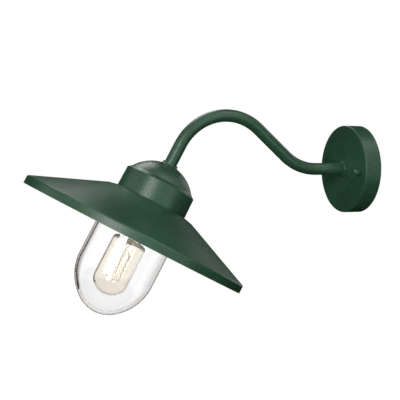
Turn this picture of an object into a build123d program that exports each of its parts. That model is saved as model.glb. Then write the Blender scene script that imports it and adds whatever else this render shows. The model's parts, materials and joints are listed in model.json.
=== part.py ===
# Gooseneck wall light: a round wall rose, a bent tube arm, and a tilted head with a
# cast cap, a spun shade, a screwed glass jar and a tubular filament bulb.
#
# Millimetres. The wall is the plane Y = 0 and the light stands out from it along -Y.
# +Z is up. The origin is the centre of the rose's back face. The arm bends in X = 0.
# Heights on the head are measured up its own axis, from the plane of the shade's rim.
import os
from math import atan2, cos, degrees, pi, radians, sin, sqrt, tan

from build123d import *

os.makedirs("parts", exist_ok=True)

# ---------------------------------------------------------------- driving dimensions
# wall rose
ROSE_DIAMETER = 117.0
ROSE_DEPTH = 23.0
ROSE_WALL = 3.0
ROSE_EDGE_ROUND = 1.5
ROSE_GASKET_LIP = 1.5
ROSE_GASKET_WIDTH = 5.5
ROSE_GASKET_THICKNESS = 2.5

# mounting bracket behind the rose
BRACKET_THICKNESS = 2.0
BRACKET_BAR_WIDTH = 20.0
BRACKET_LEG_WIDTH = 26.0
BRACKET_LEG_LENGTH = 76.0
BRACKET_CABLE_HOLE = 16.0
BRACKET_CORNER = 3.0
BRACKET_GASKET_GAP = 0.8
WALL_SCREW_SPACING = 52.0
WALL_SCREW_SLOT_LENGTH = 11.0
WALL_SCREW_SLOT_WIDTH = 5.5
STUD_SPACING = 88.0
STUD_DIAMETER = 5.0
STUD_HEAD_DIAMETER = 9.0
STUD_HEAD_THICKNESS = 1.2
STUD_HOLE_CLEARANCE = 0.3

# cap nuts on the rose's face
CAP_NUT_FLATS = 8.0
CAP_NUT_HEX_HEIGHT = 4.0
CAP_NUT_HEIGHT = 9.0
CAP_NUT_DOME_DIAMETER = 7.5
CAP_NUT_FLOOR = 1.5
CAP_NUT_DOME_FLAT = 0.5
STUD_END_GAP = 1.5
NUT_WASHER_DIAMETER = 10.0
NUT_WASHER_THICKNESS = 0.8

# arm tube
TUBE_DIAMETER = 16.0
TUBE_WALL = 1.5
TUBE_FIT = 0.1
ARM_REACH = 66.0
ARM_BEND_RADIUS = 70.0
ARM_RISE_ANGLE = 40.0
ARM_SLOPE_LENGTH = 55.0
ARM_DROP = 26.5
TUBE_END_PAST_NUT = 0.5
COLLAR_DIAMETER = 21.0
COLLAR_LENGTH = 3.0
COLLAR_ROUND = 1.0
LOCK_NUT_FLATS = 22.0
LOCK_NUT_THICKNESS = 3.5
LOCK_WASHER_DIAMETER = 26.0
LOCK_WASHER_THICKNESS = 1.0
BUSH_FLANGE = 1.0
BUSH_SLEEVE = 6.0

# head and cast cap
HEAD_TILT = 27.0
CAP_BASE_HEIGHT = 51.6
CAP_DIAMETER = 93.6
CAP_DRAFT = 0.5
CAP_BODY_TOP = 77.5
CAP_BODY_ROUND = 0.8
CAP_STEP_TOP = 81.2
DOME_RADIUS = 50.4
DOME_CENTRE_HEIGHT = 52.6
CAP_WALL = 3.0
BOSS_DIAMETER = 20.0
BOSS_TOP = 105.0
BOSS_FLARE = 2.0
NUT_PAD_DIAMETER = 30.0
NUT_PAD_HEIGHT = 95.0
CAP_POST_DIAMETER = 10.0
CAP_POST_COUNT = 3
NUT_PAD_SLOPE = 2.0
CUT_THROUGH = 1.0

# shade
SHADE_DIAMETER = 300.0
SHADE_THICKNESS = 1.5
SHADE_RIM_HEIGHT = 10.5
SHADE_RIM_ROUND = 2.5
SHADE_SHOULDER_DIAMETER = 116.0
SHADE_SHOULDER_HEIGHT = 49.3
SHADE_SHOULDER_ROUND = 12.0
SHADE_SEAT_MARGIN = 0.4
SHADE_SEAT_ROUND = 2.0
SEAT_HOLE_DIAMETER = 54.0

# gallery that holds the jar, and its screws
GALLERY_GASKET_THICKNESS = 1.0
GALLERY_FLANGE = 4.0
GALLERY_DIAMETER = 93.0
GALLERY_BORE = 85.2
GALLERY_SKIRT = 24.4
GALLERY_SCREW_CIRCLE = 66.0
GALLERY_SCREW_LENGTH = 20.0
SCREW_DIAMETER = 4.0
SCREW_HEAD_DIAMETER = 7.2
SCREW_HEAD_HEIGHT = 2.4
SCREW_CLEARANCE = 0.4
SCREW_SLOT_WIDTH = 1.0
SCREW_SLOT_DEPTH = 1.0
CROSS_SLOT_LENGTH = 4.2
CROSS_SLOT_DEPTH = 1.4
SCREW_END_GAP = 2.0
SMALL_HEAD_HEIGHT = 1.8
SMALL_SLOT_WIDTH = 0.7
SMALL_SLOT_DEPTH = 0.8
JAR_SEAL_THICKNESS = 2.0
JAR_SEAL_MARGIN = 0.2
JAR_SEAL_GAP = 0.05

# glass jar
JAR_DIAMETER = 100.0
JAR_WALL = 3.5
JAR_DEPTH = 102.0
JAR_END_HEIGHT = 59.0
JAR_TIP_RADIUS = 40.0
JAR_NECK_DIAMETER = 81.0
JAR_SHOULDER_TOP = 22.0
JAR_SHOULDER_HEIGHT = 9.0
JAR_SHOULDER_ROUND = 4.0
JAR_THREAD_PITCH = 5.0
JAR_THREAD_TURNS = 1.5
JAR_THREAD_DROP = 4.6
THREAD_RIDGE = 1.6
THREAD_ROOT_WIDTH = 2.4
THREAD_CREST_WIDTH = 1.2
THREAD_FLANK_GAP = 0.25
THREAD_SINK = 0.3
THREAD_START = 40.0

# lampholder
HOLDER_DIAMETER = 40.0
HOLDER_LENGTH = 44.6
HOLDER_MOUTH_BORE = 30.4
HOLDER_MOUTH_DEPTH = 2.5
HOLDER_EDGE_ROUND = 1.5
HOLDER_FLOOR_DEPTH = 19.6
SHELL_DIAMETER = 28.0
SHELL_BORE = 26.8
SHELL_BASE = 0.8
SHELL_BASE_HOLE = 16.0
HOLDER_PLATE_THICKNESS = 1.5
HOLDER_PLATE_DIAMETER = 84.0
HOLDER_SCREW_SPACING = 26.0
HOLDER_SCREW_LENGTH = 11.0
CONTACT_DIAMETER = 8.0
CONTACT_THICKNESS = 1.2
CONTACT_STEM_DIAMETER = 3.6
CONTACT_STEM_LENGTH = 5.8
CONTACT_GAP = 0.15
CONTACT_POCKET_DIAMETER = 11.2
SPRING_WIRE = 0.6
SPRING_DIAMETER = 3.2
SPRING_TURNS = 4
SPRING_LENGTH = 5.0
TERMINAL_SPACING = 26.0
TERMINAL_WIDTH = 6.0
TERMINAL_DEPTH = 5.0
TERMINAL_FOOT = 7.6
TERMINAL_STAND = 5.4
TERMINAL_SCREW_DIAMETER = 2.5
TERMINAL_SCREW_HEAD = 4.4
TERMINAL_LEG_DIAMETER = 2.4
TERMINAL_WINDOW_GAP = 0.6
CONDUCTOR_FIT = 0.05
SPRING_END_GAP = 0.2
STRAP_GAP = 0.3
STRAP_WIDTH = 4.0
STRAP_THICKNESS = 0.8
HEAD_EARTH_PLACE = 24.0

# Edison screw and filament bulb
EDISON_PITCH = 3.629
EDISON_CORE = 24.2
EDISON_RIDGE = 1.0
EDISON_ROOT_WIDTH = 2.2
EDISON_CREST_WIDTH = 1.3
EDISON_TURNS = 4.5
SHELL_TURNS = 4.0
BULB_DIAMETER = 44.8
BULB_WALL = 1.0
BULB_LENGTH = 110.0
BULB_DOME_HEIGHT = 20.0
BULB_THROAT = 8.0
BULB_SHOULDER_ROUND = 7.0
BULB_NECK_DIAMETER = 23.0
BULB_NECK_FILLET = 4.0
BULB_NECK_SINK = 8.5
CAP_SHEET = 0.4
CAP_SKIRT_DIAMETER = 27.6
CAP_SKIRT_HEIGHT = 3.0
BULB_CAP_LENGTH = 23.0
BULB_INSULATOR_HEIGHT = 4.5
BULB_TIP_GAP = 1.0
BULB_TIP_DIAMETER = 9.6
BULB_TIP_THICKNESS = 1.2
INSULATOR_LIP = 0.4
INSULATOR_SINK = 1.0
STEM_TUBE_DIAMETER = 9.0
STEM_PINCH_DIAMETER = 6.0
STEM_ROD_DIAMETER = 3.2
STEM_BEAD_DIAMETER = 5.0
STEM_BEAD_LENGTH = 3.0
STEM_FOOT_SINK = 3.5
STEM_TUBE_DROP = 5.5
STEM_FOOT_GAP = 0.2
STEM_TUBE_END = 4.0
STEM_PINCH_START = 8.0
STEM_PINCH_END = 13.0
UPPER_BEAD_DEPTH = 14.5
LOWER_BEAD_DEPTH = 56.5
FILAMENT_WIRE = 0.5
FILAMENT_CIRCLE = 19.0
FILAMENT_TOP_DEPTH = 19.0
FILAMENT_BOTTOM_DEPTH = 57.0
FILAMENT_STRANDS = 10
FILAMENT_SWEEP = 300.0
FILAMENT_BEND = 0.35
SUPPORT_WIRE = 0.5
LEAD_WIRE = 0.8
WIRE_GAP = 0.08

# wiring
CABLE_DIAMETER = 6.6
CABLE_PAST_BUSH = 0.5
BUSH_CABLE_GAP = 0.1
CORE_DIAMETER = 2.2
CORE_OFFSET = 1.9
CONDUCTOR_DIAMETER = 1.4
CONDUCTOR_LENGTH = 4.0
ROSE_CORE_BEND = 4.0
HEAD_CORE_BEND = 7.0
BLOCK_CORE_KNEE = 7.5
EARTH_CORE_KNEE_OUT = 2.5
EARTH_CORE_KNEE_UP = 6.0
FAN_START = 6.5
RING_HOLE_GAP = 0.1
BLOCK_WIDTH = 22.0
BLOCK_HEIGHT = 16.0
BLOCK_DEPTH = 13.0
BLOCK_DROP = 26.0
BLOCK_WAY_SPACING = 12.0
BLOCK_WAY_SINK = 0.5
BLOCK_CORNER = 1.5
INSERT_DIAMETER = 4.6
INSERT_BORE = 2.8
INSERT_RECESS = 1.0
BLOCK_SCREW_DIAMETER = 3.0
BLOCK_SCREW_SPACING = 9.0
BLOCK_SCREW_RECESS = 1.0
ROSE_EARTH_HEIGHT = 24.0
EARTH_SCREW_LENGTH = 7.0
EARTH_RING_DIAMETER = 8.4
EARTH_RING_THICKNESS = 0.8
EARTH_BARREL_DIAMETER = 3.2
EARTH_BARREL_LENGTH = 5.0
EARTH_BARREL_GAP = 0.2

# ---------------------------------------------------------------- derived sizes
ROSE_RADIUS = ROSE_DIAMETER / 2
ROSE_INSIDE = ROSE_DEPTH - ROSE_WALL
GASKET_INSIDE_RADIUS = ROSE_RADIUS - ROSE_GASKET_LIP - ROSE_GASKET_WIDTH
BRACKET_REACH = GASKET_INSIDE_RADIUS - BRACKET_GASKET_GAP
BRACKET_BAR_LENGTH = 2 * sqrt(BRACKET_REACH**2 - (BRACKET_BAR_WIDTH / 2) ** 2)
TUBE_RADIUS = TUBE_DIAMETER / 2
TUBE_BORE_RADIUS = TUBE_RADIUS - TUBE_WALL
TUBE_HOLE_RADIUS = TUBE_RADIUS + TUBE_FIT
SHADE_UNDERSIDE = CAP_BASE_HEIGHT - SHADE_THICKNESS
GALLERY_TOP = SHADE_UNDERSIDE - GALLERY_GASKET_THICKNESS
GALLERY_FACE = GALLERY_TOP - GALLERY_FLANGE
JAR_TOP = GALLERY_FACE - JAR_SEAL_THICKNESS - JAR_SEAL_GAP
PLATE_TOP = CAP_BASE_HEIGHT + HOLDER_PLATE_THICKNESS
SCREW_HOLE_RADIUS = (SCREW_DIAMETER + SCREW_CLEARANCE) / 2

# The lampholder hangs from the cap's base, and the bulb is screwed up to the lampholder's floor.
HOLDER_MOUTH_HEIGHT = CAP_BASE_HEIGHT - HOLDER_LENGTH
HOLDER_FLOOR_HEIGHT = CAP_BASE_HEIGHT - HOLDER_FLOOR_DEPTH
BULB_TIP_HEIGHT = HOLDER_FLOOR_HEIGHT + BULB_TIP_GAP
BULB_CAP_TOP = BULB_TIP_HEIGHT - BULB_INSULATOR_HEIGHT
BULB_CAP_BOTTOM = BULB_CAP_TOP - BULB_CAP_LENGTH
BULB_NECK_TOP = BULB_CAP_BOTTOM + BULB_NECK_SINK
BULB_SHOULDER_HEIGHT = BULB_CAP_BOTTOM - BULB_THROAT
BULB_END_HEIGHT = BULB_TIP_HEIGHT - BULB_LENGTH
STEM_FOOT_HEIGHT = BULB_CAP_BOTTOM + STEM_FOOT_SINK
# The depths on the stem and the filament are measured down from the stem's tube.
STEM_HEIGHT = BULB_CAP_BOTTOM - STEM_TUBE_DROP

# The lock nut and its washer hold the tube against the rose's plate and the cap's pad.
ROSE_TUBE_END = ROSE_INSIDE - LOCK_WASHER_THICKNESS - LOCK_NUT_THICKNESS - TUBE_END_PAST_NUT
HEAD_TUBE_END = NUT_PAD_HEIGHT - LOCK_WASHER_THICKNESS - LOCK_NUT_THICKNESS - TUBE_END_PAST_NUT
ROSE_CABLE_END = ROSE_TUBE_END - BUSH_FLANGE - CABLE_PAST_BUSH
HEAD_CABLE_END = HEAD_TUBE_END - BUSH_FLANGE - CABLE_PAST_BUSH

# The arm's centreline: out along the wall's normal, up the slope, over and down the head's axis.
TILT = radians(HEAD_TILT)
RISE = radians(ARM_RISE_ANGLE)
CROOK_TURN = ARM_RISE_ANGLE + 90 - HEAD_TILT
RISE_TANGENT = ARM_BEND_RADIUS * tan(RISE / 2)
CROOK_TANGENT = ARM_BEND_RADIUS * tan(radians(CROOK_TURN) / 2)
SLOPE_RUN = RISE_TANGENT + ARM_SLOPE_LENGTH + CROOK_TANGENT
RISE_CORNER_OUT = ARM_REACH + RISE_TANGENT
CROOK_CORNER_OUT = RISE_CORNER_OUT + SLOPE_RUN * cos(RISE)
CROOK_CORNER_UP = SLOPE_RUN * sin(RISE)
HEAD_RUN = CROOK_TANGENT + ARM_DROP + BOSS_TOP
HEAD_OUT = CROOK_CORNER_OUT + HEAD_RUN * sin(TILT)
HEAD_UP = CROOK_CORNER_UP - HEAD_RUN * cos(TILT)

# ---------------------------------------------------------------- planes and axes
# WALL looks out from the wall: its x is X and its y is up.
WALL = Plane(origin=(0, 0, 0), x_dir=(1, 0, 0), z_dir=(0, -1, 0))
# ROSE_SECTION has the radius along its x and the distance from the wall along its y.
ROSE_SECTION = Plane(origin=(0, 0, 0), x_dir=(1, 0, 0), z_dir=(0, 0, -1))
ROSE_AXIS = Axis((0, 0, 0), (0, -1, 0))
# HEAD has the head's axis as its normal, and HEAD_SECTION holds that axis as its y.
HEAD_CENTRE = (0, -HEAD_OUT, HEAD_UP)
HEAD_UP_AXIS = (0, sin(TILT), cos(TILT))
HEAD = Plane(origin=HEAD_CENTRE, x_dir=(1, 0, 0), z_dir=HEAD_UP_AXIS)
HEAD_SECTION = Plane(origin=HEAD_CENTRE, x_dir=(1, 0, 0), z_dir=(0, -cos(TILT), sin(TILT)))
HEAD_AXIS = Axis(HEAD_CENTRE, HEAD_UP_AXIS)


def wall_point(x, up, out):
    """A point given across the wall, up it and out from it."""
    return Vector(x, -out, up)


def head_point(x, y, height):
    """A point given in the head's own frame."""
    return HEAD.from_local_coords(Vector(x, y, height))


def on_circle(radius, angle):
    """The x and y of a point on a circle."""
    return radius * cos(radians(angle)), radius * sin(radians(angle))


def pillar(plane, places, radius, length, mode=Mode.ADD):
    """Adds or cuts round posts of one size, standing on a plane."""
    with BuildSketch(plane) as circles:
        with Locations(*places):
            Circle(radius)
    extrude(circles.sketch, amount=length, mode=mode)


def drill(plane, places, radius, length):
    """Cuts round holes of one size into the part, along a plane's normal."""
    pillar(plane, places, radius, length, Mode.SUBTRACT)


def washer(plane, outer_radius, inner_radius, thickness, places=((0, 0),)):
    """Adds flat rings standing on a plane."""
    with BuildSketch(plane) as rings:
        with Locations(*places):
            Circle(outer_radius)
            Circle(inner_radius, mode=Mode.SUBTRACT)
    extrude(rings.sketch, amount=thickness)


def cut_slots(plane, places, length, width, depth):
    """Cuts straight screwdriver slots that are open upwards from a plane."""
    with BuildSketch(plane) as slots:
        with Locations(*places):
            Rectangle(length, width)
    extrude(slots.sketch, amount=depth, mode=Mode.SUBTRACT)


def hex_nut(plane, flats, bore_radius, thickness):
    """Adds a plain hexagon nut standing on a plane."""
    with BuildSketch(plane) as hexagon:
        RegularPolygon(flats / 2, 6, major_radius=False)
        Circle(bore_radius, mode=Mode.SUBTRACT)
    extrude(hexagon.sketch, amount=thickness)


def turned(section, axis, points):
    """Revolves a straight-sided outline of radius and height."""
    with BuildSketch(section) as outline:
        with BuildLine():
            Polyline(*points, close=True)
        make_face()
    revolve(outline.sketch, axis=axis)


def wire(points, radius, bend):
    """Sweeps a round wire along straight runs joined by arcs."""
    with BuildLine() as route:
        FilletPolyline(*points, radius=bend)
    with BuildSketch(Plane(origin=route.line @ 0, z_dir=route.line % 0)) as section:
        Circle(radius)
    sweep(section.sketch, path=route.line)


def straight_wire(start, end, radius):
    """Adds one straight round wire between two points."""
    run = end - start
    pillar(Plane(origin=start, z_dir=run), [(0, 0)], radius, run.length)


def thread_ridge(base_height, turns, pitch, root_radius, ridge, root_width, crest_width):
    """Adds a helical ridge about the head's axis; a negative ridge points inwards."""
    sink = -THREAD_SINK if ridge > 0 else THREAD_SINK
    helix = Helix(pitch, turns * pitch, root_radius, center=head_point(0, 0, base_height),
                  direction=HEAD_UP_AXIS, mode=Mode.PRIVATE).rotate(HEAD_AXIS, THREAD_START)
    start = helix @ 0
    radial = (start - head_point(0, 0, base_height)).normalized()
    with BuildSketch(Plane(origin=start, x_dir=radial, z_dir=helix % 0)) as section:
        with BuildLine():
            Polyline((sink, -root_width / 2), (ridge, -crest_width / 2),
                     (ridge, crest_width / 2), (sink, root_width / 2), close=True)
        make_face()
    sweep(section.sketch, path=helix, is_frenet=True)


# ================================================================ wall end
# The rose is a cast cup with a flat face, a rebate for its gasket and three holes.
with BuildPart() as wall_rose:
    rebate_radius = ROSE_RADIUS - ROSE_GASKET_LIP
    inside_radius = ROSE_RADIUS - ROSE_WALL
    turned(ROSE_SECTION, ROSE_AXIS, [
        (rebate_radius, 0),
        (ROSE_RADIUS, 0),
        (ROSE_RADIUS, ROSE_DEPTH),
        (TUBE_HOLE_RADIUS, ROSE_DEPTH),
        (TUBE_HOLE_RADIUS, ROSE_INSIDE),
        (inside_radius, ROSE_INSIDE),
        (inside_radius, ROSE_GASKET_THICKNESS),
        (rebate_radius, ROSE_GASKET_THICKNESS),
    ])
    fillet(wall_rose.faces().sort_by(Axis.Y)[0].outer_wire().edges(), ROSE_EDGE_ROUND)
    stud_places = [(-STUD_SPACING / 2, 0), (STUD_SPACING / 2, 0)]
    stud_hole_radius = STUD_DIAMETER / 2 + STUD_HOLE_CLEARANCE
    drill(WALL.offset(ROSE_INSIDE), stud_places, stud_hole_radius, ROSE_WALL)
wall_rose.part.label = "wall_rose"
export_step(wall_rose.part, "parts/wall_rose.step")

# A foam gasket lies in the rebate, flush with the rose's back edge.
with BuildPart() as rose_gasket:
    washer(WALL, rebate_radius, GASKET_INSIDE_RADIUS, ROSE_GASKET_THICKNESS)
rose_gasket.part.label = "rose_gasket"
export_step(rose_gasket.part, "parts/rose_gasket.step")

# A pressed steel cross lies on the wall: the bar takes the wall screws and the studs.
with BuildPart() as mounting_bracket:
    with BuildSketch(WALL):
        Rectangle(BRACKET_BAR_LENGTH, BRACKET_BAR_WIDTH)
        Rectangle(BRACKET_LEG_WIDTH, BRACKET_LEG_LENGTH)
        Circle(BRACKET_CABLE_HOLE / 2, mode=Mode.SUBTRACT)
        with Locations((-WALL_SCREW_SPACING / 2, 0), (WALL_SCREW_SPACING / 2, 0)):
            SlotOverall(WALL_SCREW_SLOT_LENGTH, WALL_SCREW_SLOT_WIDTH, mode=Mode.SUBTRACT)
        with Locations(*stud_places):
            Circle(STUD_DIAMETER / 2, mode=Mode.SUBTRACT)
        with Locations((0, ROSE_EARTH_HEIGHT)):
            Circle(SCREW_DIAMETER / 2, mode=Mode.SUBTRACT)
        with Locations((0, -BLOCK_DROP)):
            Circle(BLOCK_SCREW_DIAMETER / 2, mode=Mode.SUBTRACT)
    extrude(amount=BRACKET_THICKNESS)
    upright_edges = mounting_bracket.edges().filter_by(Axis.Y)
    bar_ends = upright_edges.group_by(Axis.X)[0] + upright_edges.group_by(Axis.X)[-1]
    leg_ends = upright_edges.group_by(Axis.Z)[0] + upright_edges.group_by(Axis.Z)[-1]
    fillet(bar_ends + leg_ends, BRACKET_CORNER)
mounting_bracket.part.label = "mounting_bracket"
export_step(mounting_bracket.part, "parts/mounting_bracket.step")

# Two studs are pressed through the bar and reach out through the rose's face.
nut_seat = ROSE_DEPTH + NUT_WASHER_THICKNESS
stud_end = nut_seat + CAP_NUT_HEIGHT - CAP_NUT_FLOOR - STUD_END_GAP
with BuildPart() as bracket_studs:
    pillar(WALL, stud_places, STUD_DIAMETER / 2, stud_end)
    stud_head_plane = WALL.offset(BRACKET_THICKNESS)
    pillar(stud_head_plane, stud_places, STUD_HEAD_DIAMETER / 2, STUD_HEAD_THICKNESS)
bracket_studs.part.label = "bracket_studs"
export_step(bracket_studs.part, "parts/bracket_studs.step")

with BuildPart() as cap_nut_washers:
    washer(WALL.offset(ROSE_DEPTH), NUT_WASHER_DIAMETER / 2, stud_hole_radius,
           NUT_WASHER_THICKNESS, stud_places)
cap_nut_washers.part.label = "cap_nut_washers"
export_step(cap_nut_washers.part, "parts/cap_nut_washers.step")

# Each cap nut is a hexagon with a domed end, and a blind hole for the stud.
with BuildPart() as rose_cap_nuts:
    with BuildSketch(WALL.offset(nut_seat)):
        with Locations(*stud_places):
            RegularPolygon(CAP_NUT_FLATS / 2, 6, major_radius=False)
    extrude(amount=CAP_NUT_HEX_HEIGHT)
    dome_radius = CAP_NUT_DOME_DIAMETER / 2
    dome_straight = CAP_NUT_HEIGHT - CAP_NUT_HEX_HEIGHT
    pillar(WALL.offset(nut_seat + CAP_NUT_HEX_HEIGHT), stud_places, dome_radius, dome_straight)
    nut_tops = rose_cap_nuts.faces().group_by(Axis.Y)[0]
    fillet([e for face in nut_tops for e in face.edges()], dome_radius - CAP_NUT_DOME_FLAT)
    drill(WALL.offset(nut_seat), stud_places, STUD_DIAMETER / 2, CAP_NUT_HEIGHT - CAP_NUT_FLOOR)
rose_cap_nuts.part.label = "rose_cap_nuts"
export_step(rose_cap_nuts.part, "parts/rose_cap_nuts.step")

# The terminal block stands on the bracket's lower leg, with two ways that run up and down.
block_seat = BRACKET_THICKNESS
way_out = block_seat + BLOCK_DEPTH / 2 - BLOCK_WAY_SINK
way_places = [-BLOCK_WAY_SPACING / 2, BLOCK_WAY_SPACING / 2]
block_top = -BLOCK_DROP + BLOCK_HEIGHT / 2
insert_top = block_top - INSERT_RECESS
insert_length = BLOCK_HEIGHT - 2 * INSERT_RECESS
block_screw_places = [(x, -BLOCK_DROP + s * BLOCK_SCREW_SPACING / 2)
                      for x in way_places for s in (-1, 1)]
way_circles = [(x, -way_out) for x in way_places]
block_base_plane = Plane.XY.offset(block_top - BLOCK_HEIGHT)
with BuildPart() as terminal_block:
    with BuildSketch(WALL.offset(block_seat)):
        with Locations((0, -BLOCK_DROP)):
            RectangleRounded(BLOCK_WIDTH, BLOCK_HEIGHT, BLOCK_CORNER)
    extrude(amount=BLOCK_DEPTH)
    drill(block_base_plane, way_circles, INSERT_DIAMETER / 2, BLOCK_HEIGHT)
    drill(WALL.offset(way_out), block_screw_places, BLOCK_SCREW_DIAMETER / 2, BLOCK_DEPTH)
    drill(WALL.offset(block_seat), [(0, -BLOCK_DROP)], BLOCK_SCREW_DIAMETER / 2, BLOCK_DEPTH)
terminal_block.part.label = "terminal_block"
export_step(terminal_block.part, "parts/terminal_block.step")

with BuildPart() as terminal_inserts:
    insert_base_plane = Plane.XY.offset(insert_top - insert_length)
    pillar(insert_base_plane, way_circles, INSERT_DIAMETER / 2, insert_length)
    drill(insert_base_plane, way_circles, INSERT_BORE / 2, insert_length)
    drill(WALL.offset(way_out), block_screw_places, BLOCK_SCREW_DIAMETER / 2, BLOCK_DEPTH)
terminal_inserts.part.label = "terminal_inserts"
export_step(terminal_inserts.part, "parts/terminal_inserts.step")

with BuildPart() as terminal_screws:
    screw_tip = way_out + INSERT_BORE / 2
    screw_top = block_seat + BLOCK_DEPTH - BLOCK_SCREW_RECESS
    pillar(WALL.offset(screw_tip), block_screw_places, BLOCK_SCREW_DIAMETER / 2,
           screw_top - screw_tip)
    cut_slots(WALL.offset(screw_top - SMALL_SLOT_DEPTH), block_screw_places,
              BLOCK_SCREW_DIAMETER, SMALL_SLOT_WIDTH, SMALL_SLOT_DEPTH)
terminal_screws.part.label = "terminal_screws"
export_step(terminal_screws.part, "parts/terminal_screws.step")

with BuildPart() as terminal_block_screw:
    block_face = block_seat + BLOCK_DEPTH
    pillar(WALL, [(0, -BLOCK_DROP)], BLOCK_SCREW_DIAMETER / 2, block_face)
    pillar(WALL.offset(block_face), [(0, -BLOCK_DROP)], BLOCK_SCREW_DIAMETER, SMALL_HEAD_HEIGHT)
    cut_slots(WALL.offset(block_face + SMALL_HEAD_HEIGHT - SMALL_SLOT_DEPTH), [(0, -BLOCK_DROP)],
              2 * BLOCK_SCREW_DIAMETER, SMALL_SLOT_WIDTH, SMALL_SLOT_DEPTH)
terminal_block_screw.part.label = "terminal_block_screw"
export_step(terminal_block_screw.part, "parts/terminal_block_screw.step")

# ================================================================ arm
# The tube runs from inside the rose to inside the cap, at one bend radius.
tube_start = wall_point(0, 0, ROSE_TUBE_END)
tube_end = head_point(0, 0, HEAD_TUBE_END)
arm_corners = [wall_point(0, 0, RISE_CORNER_OUT), wall_point(0, CROOK_CORNER_UP, CROOK_CORNER_OUT)]
with BuildPart() as arm_tube:
    with BuildLine() as arm_route:
        FilletPolyline(tube_start, *arm_corners, tube_end, radius=ARM_BEND_RADIUS)
    with BuildSketch(WALL.offset(ROSE_TUBE_END)):
        Circle(TUBE_RADIUS)
        Circle(TUBE_BORE_RADIUS, mode=Mode.SUBTRACT)
    sweep(path=arm_route.line)
tube_section = pi * (TUBE_RADIUS**2 - TUBE_BORE_RADIUS**2)
arm_length = sum(edge.length for edge in arm_route.edges())
print("arm tube volume over section times length",
      round(arm_tube.part.volume / (tube_section * arm_length), 4))
arm_tube.part.label = "arm_tube"
export_step(arm_tube.part, "parts/arm_tube.step")

with BuildPart() as arm_collar:
    washer(WALL.offset(ROSE_DEPTH), COLLAR_DIAMETER / 2, TUBE_RADIUS, COLLAR_LENGTH)
    fillet(arm_collar.faces().sort_by(Axis.Y)[0].outer_wire().edges(), COLLAR_ROUND)
arm_collar.part.label = "arm_collar"
export_step(arm_collar.part, "parts/arm_collar.step")

with BuildPart() as rose_lock_washer:
    washer(WALL.offset(ROSE_INSIDE - LOCK_WASHER_THICKNESS), LOCK_WASHER_DIAMETER / 2,
           TUBE_HOLE_RADIUS, LOCK_WASHER_THICKNESS)
rose_lock_washer.part.label = "rose_lock_washer"
export_step(rose_lock_washer.part, "parts/rose_lock_washer.step")

with BuildPart() as rose_lock_nut:
    hex_nut(WALL.offset(ROSE_TUBE_END + TUBE_END_PAST_NUT), LOCK_NUT_FLATS, TUBE_RADIUS,
            LOCK_NUT_THICKNESS)
rose_lock_nut.part.label = "rose_lock_nut"
export_step(rose_lock_nut.part, "parts/rose_lock_nut.step")

# A plastic bush in each tube end keeps the cable off the cut edge.
bush_hole = CABLE_DIAMETER / 2 + BUSH_CABLE_GAP
with BuildPart() as rose_cable_bush:
    washer(WALL.offset(ROSE_TUBE_END - BUSH_FLANGE), TUBE_RADIUS, bush_hole, BUSH_FLANGE)
    washer(WALL.offset(ROSE_TUBE_END), TUBE_BORE_RADIUS, bush_hole, BUSH_SLEEVE)
rose_cable_bush.part.label = "rose_cable_bush"
export_step(rose_cable_bush.part, "parts/rose_cable_bush.step")

with BuildPart() as head_lock_washer:
    washer(HEAD.offset(NUT_PAD_HEIGHT - LOCK_WASHER_THICKNESS), LOCK_WASHER_DIAMETER / 2,
           TUBE_HOLE_RADIUS, LOCK_WASHER_THICKNESS)
head_lock_washer.part.label = "head_lock_washer"
export_step(head_lock_washer.part, "parts/head_lock_washer.step")

with BuildPart() as head_lock_nut:
    hex_nut(HEAD.offset(HEAD_TUBE_END + TUBE_END_PAST_NUT), LOCK_NUT_FLATS, TUBE_RADIUS,
            LOCK_NUT_THICKNESS)
head_lock_nut.part.label = "head_lock_nut"
export_step(head_lock_nut.part, "parts/head_lock_nut.step")

with BuildPart() as head_cable_bush:
    washer(HEAD.offset(HEAD_TUBE_END - BUSH_FLANGE), TUBE_RADIUS, bush_hole, BUSH_FLANGE)
    washer(HEAD.offset(HEAD_TUBE_END), TUBE_BORE_RADIUS, bush_hole, BUSH_SLEEVE)
head_cable_bush.part.label = "head_cable_bush"
export_step(head_cable_bush.part, "parts/head_cable_bush.step")

# ================================================================ head
# The cap's hollow follows its outside at one wall, and leaves three screw posts standing.
CAP_RADIUS = CAP_DIAMETER / 2
CAP_TOP_RADIUS = CAP_RADIUS - CAP_DRAFT
STEP_RADIUS = sqrt(DOME_RADIUS**2 - (CAP_STEP_TOP - DOME_CENTRE_HEIGHT) ** 2)
BOSS_RADIUS = BOSS_DIAMETER / 2
post_places = [on_circle(GALLERY_SCREW_CIRCLE / 2, i * 360 / CAP_POST_COUNT)
               for i in range(CAP_POST_COUNT)]


def dome_height(radius, inset):
    """Height of the dome's surface, or of its inside, at a radius."""
    return DOME_CENTRE_HEIGHT + sqrt((DOME_RADIUS - inset) ** 2 - radius**2)


def dome_arc(first_radius, last_radius, inset):
    """A stretch of the dome's section."""
    middle = (first_radius + last_radius) / 2
    ThreePointArc((first_radius, dome_height(first_radius, inset)),
                  (middle, dome_height(middle, inset)),
                  (last_radius, dome_height(last_radius, inset)))


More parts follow.
